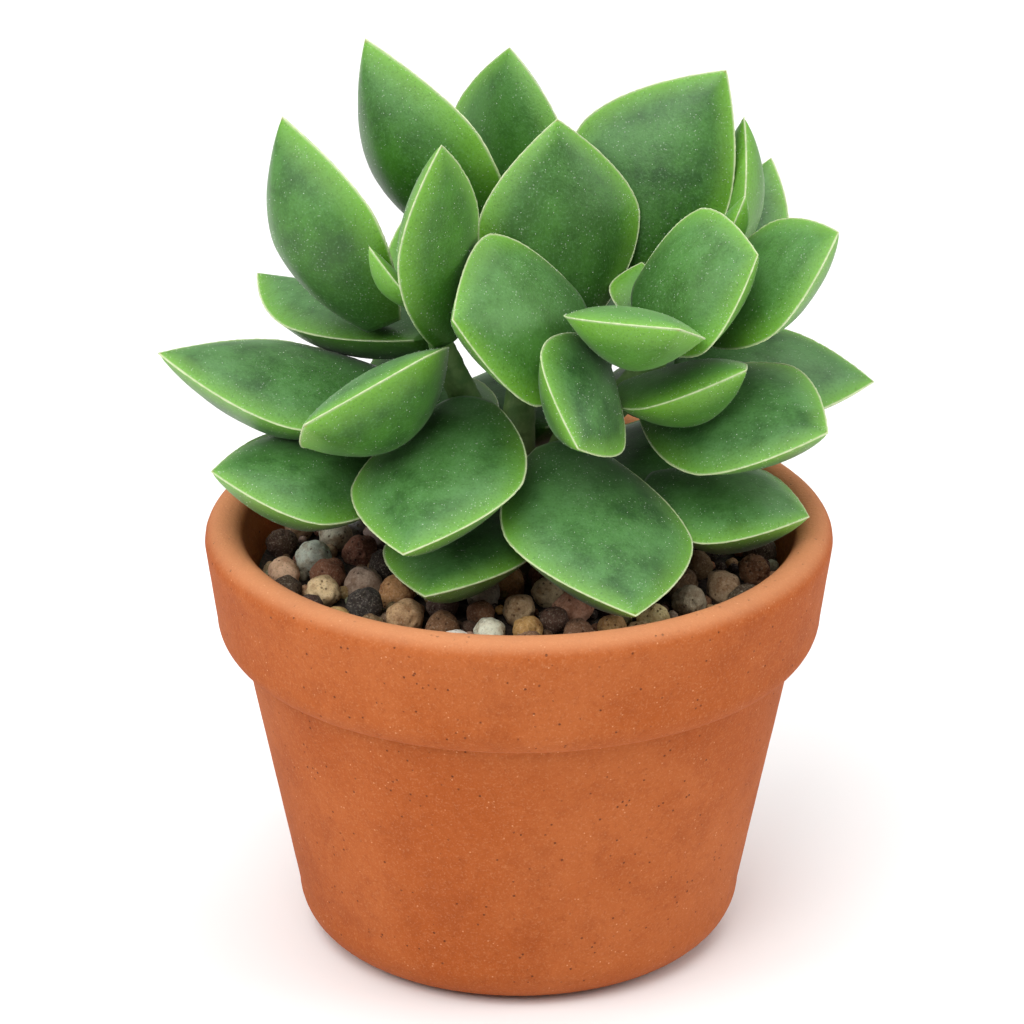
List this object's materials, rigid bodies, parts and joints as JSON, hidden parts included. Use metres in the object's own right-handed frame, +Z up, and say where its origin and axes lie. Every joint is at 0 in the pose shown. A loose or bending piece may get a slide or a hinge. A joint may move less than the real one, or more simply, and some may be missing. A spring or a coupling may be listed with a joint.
{
  "type": "potted crassula",
  "caption": "Small potted succulent: thick keeled pointed leaves in crowded rosettes on short stems, in a round clay pot topped with gravel.",
  "frame": {"origin": "centre of the bounding box at the pot's flat underside, which is the pot's axis within a millimetre", "axes": "+Z up along the pot's axis, -Y towards the side that the picture shows"},
  "size_m": [0.1245, 0.1108, 0.1583],
  "materials": {
    "terracotta": "matte unglazed fired clay with a fine sandy grain",
    "soil": "matte dark potting soil",
    "gravel": "matte rounded mixed grains",
    "stem": "smooth green-brown stem",
    "leaf": "smooth waxy leaf skin with a pale bloom",
    "young_leaf": "smooth waxy leaf skin, brighter green"
  },
  "bodies": {
    "root": {"gravel": "gravel", "leaf_back_left_tall": "leaf", "leaf_back_low": "leaf", "leaf_back_low_left": "leaf", "leaf_back_low_right": "leaf", "leaf_back_middle_left": "leaf", "leaf_back_middle_right": "leaf", "leaf_back_right_tall": "leaf", "leaf_back_tall": "leaf", "leaf_back_upper": "leaf", "leaf_centre_back": "leaf", "leaf_centre_bud": "young_leaf", "leaf_centre_front": "leaf", "leaf_centre_left": "leaf", "leaf_centre_right": "leaf", "leaf_front_left": "leaf", "leaf_front_right": "leaf", "leaf_front_small": "leaf", "leaf_left_back": "leaf", "leaf_left_bud": "young_leaf", "leaf_left_front": "leaf", "leaf_left_inner": "leaf", "leaf_left_low_back": "leaf", "leaf_left_side": "leaf", "leaf_left_upper": "leaf", "leaf_low_centre_right": "leaf", "leaf_low_right": "leaf", "leaf_low_right_front": "leaf", "leaf_right_back": "leaf", "leaf_right_bud": "young_leaf", "leaf_right_inner": "leaf", "leaf_right_low_back": "leaf", "leaf_right_side": "leaf", "leaf_rim_front_left": "leaf", "leaf_rim_left": "leaf", "leaf_rim_right": "leaf", "pot": "terracotta", "soil": "soil", "stems": "stem"}
  },
  "joints": []
}
